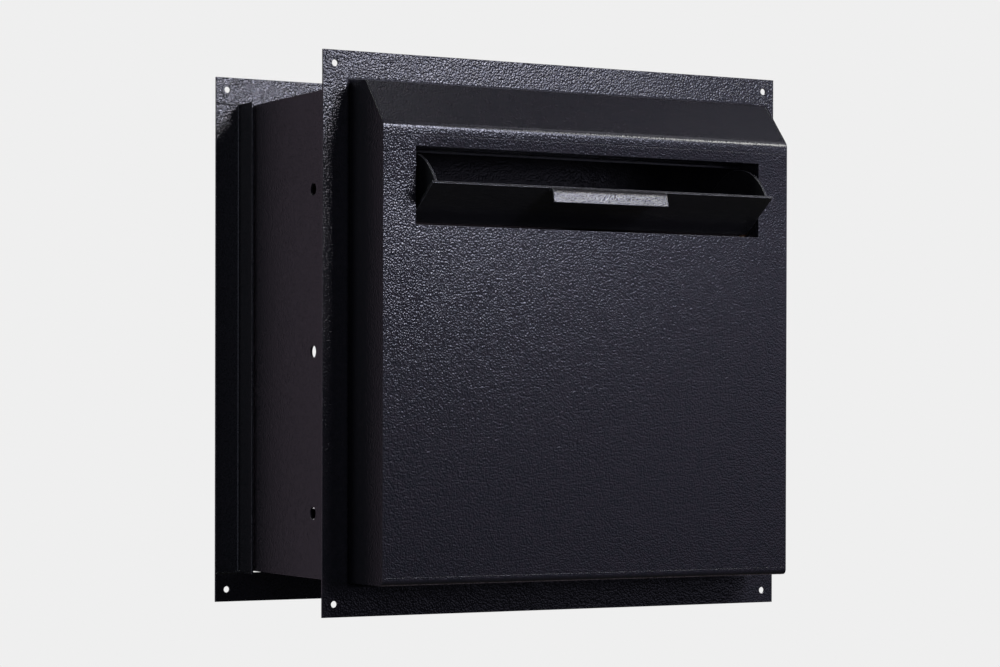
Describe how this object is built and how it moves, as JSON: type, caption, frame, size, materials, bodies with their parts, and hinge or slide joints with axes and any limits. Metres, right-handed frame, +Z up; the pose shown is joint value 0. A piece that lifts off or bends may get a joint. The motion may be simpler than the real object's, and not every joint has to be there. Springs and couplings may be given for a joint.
{
  "type": "key drop box",
  "caption": "Through-wall steel key drop box with a hooded front, a pull-down hopper, a folded tube, a rear door with a cam lock and a sliding trim frame for the inner wall.",
  "frame": {"origin": "centre of the front wall flange's back face, the plane that lies on the outside of the wall", "axes": "+X right as seen from the front, +Y into the wall, +Z up"},
  "size_m": [0.389, 0.6, 0.409],
  "materials": {
    "textured_coat": "black textured powder coat",
    "plated_steel": "zinc plated",
    "rivet_aluminium": "plain",
    "edge_rubber": "matt black",
    "bush_bronze": "sintered bronze",
    "lock_chrome": "polished",
    "lock_brass": "turned"
  },
  "bodies": {
    "box": {"front_wrap": "textured_coat", "roof_hood": "textured_coat", "floor_pan": "textured_coat", "front_flange": "textured_coat", "slot_header": "textured_coat", "slot_sill": "textured_coat", "sill_edge_trim": "edge_rubber", "cheek_left": "textured_coat", "cheek_right": "textured_coat", "rear_baffle": "textured_coat", "hopper_stop": "textured_coat", "hopper_bushes": "bush_bronze", "rear_frame": "textured_coat", "door_stop_top": "textured_coat", "door_stop_bottom": "textured_coat", "hinge_frame_leaf": "plated_steel", "hinge_frame_rivets": "rivet_aluminium"},
    "hopper": {"hopper_tray": "textured_coat", "hopper_end_left": "textured_coat", "hopper_end_right": "textured_coat", "hopper_rod": "plated_steel", "hopper_spacers": "plated_steel", "hopper_spring_washers": "plated_steel", "hopper_clips": "plated_steel"},
    "door": {"door_pan": "textured_coat", "hinge_door_leaf": "plated_steel", "hinge_pin": "plated_steel", "hinge_door_rivets": "rivet_aluminium", "lock_barrel": "lock_chrome", "lock_nut": "plated_steel"},
    "lock": {"lock_core": "lock_brass", "lock_cam": "plated_steel", "cam_screw": "plated_steel"},
    "trim": {"trim_top": "textured_coat", "trim_bottom": "textured_coat", "trim_left": "textured_coat", "trim_right": "textured_coat"}
  },
  "joints": [
    {"name": "hopper_pivot", "type": "hinge", "parent": "box", "child": "hopper", "pos_m": [0, -0.0338, 0.0843], "axis": [-1, 0, 0], "range_deg": [0, 54.5]},
    {"name": "door_hinge", "type": "hinge", "parent": "box", "child": "door", "pos_m": [0.13925, 0.2414, -0.008], "axis": [0, 0, 1], "range_deg": [-80, 90]},
    {"name": "lock_turn", "type": "hinge", "parent": "door", "child": "lock", "pos_m": [0.1193, 0.48865, -0.008], "axis": [1, 0, 0], "range_deg": [0, 90]},
    {"name": "trim_slide", "type": "slide", "parent": "box", "child": "trim", "axis": [0, 1, 0], "range_m": [-0.08, 0.02]}
  ]
}
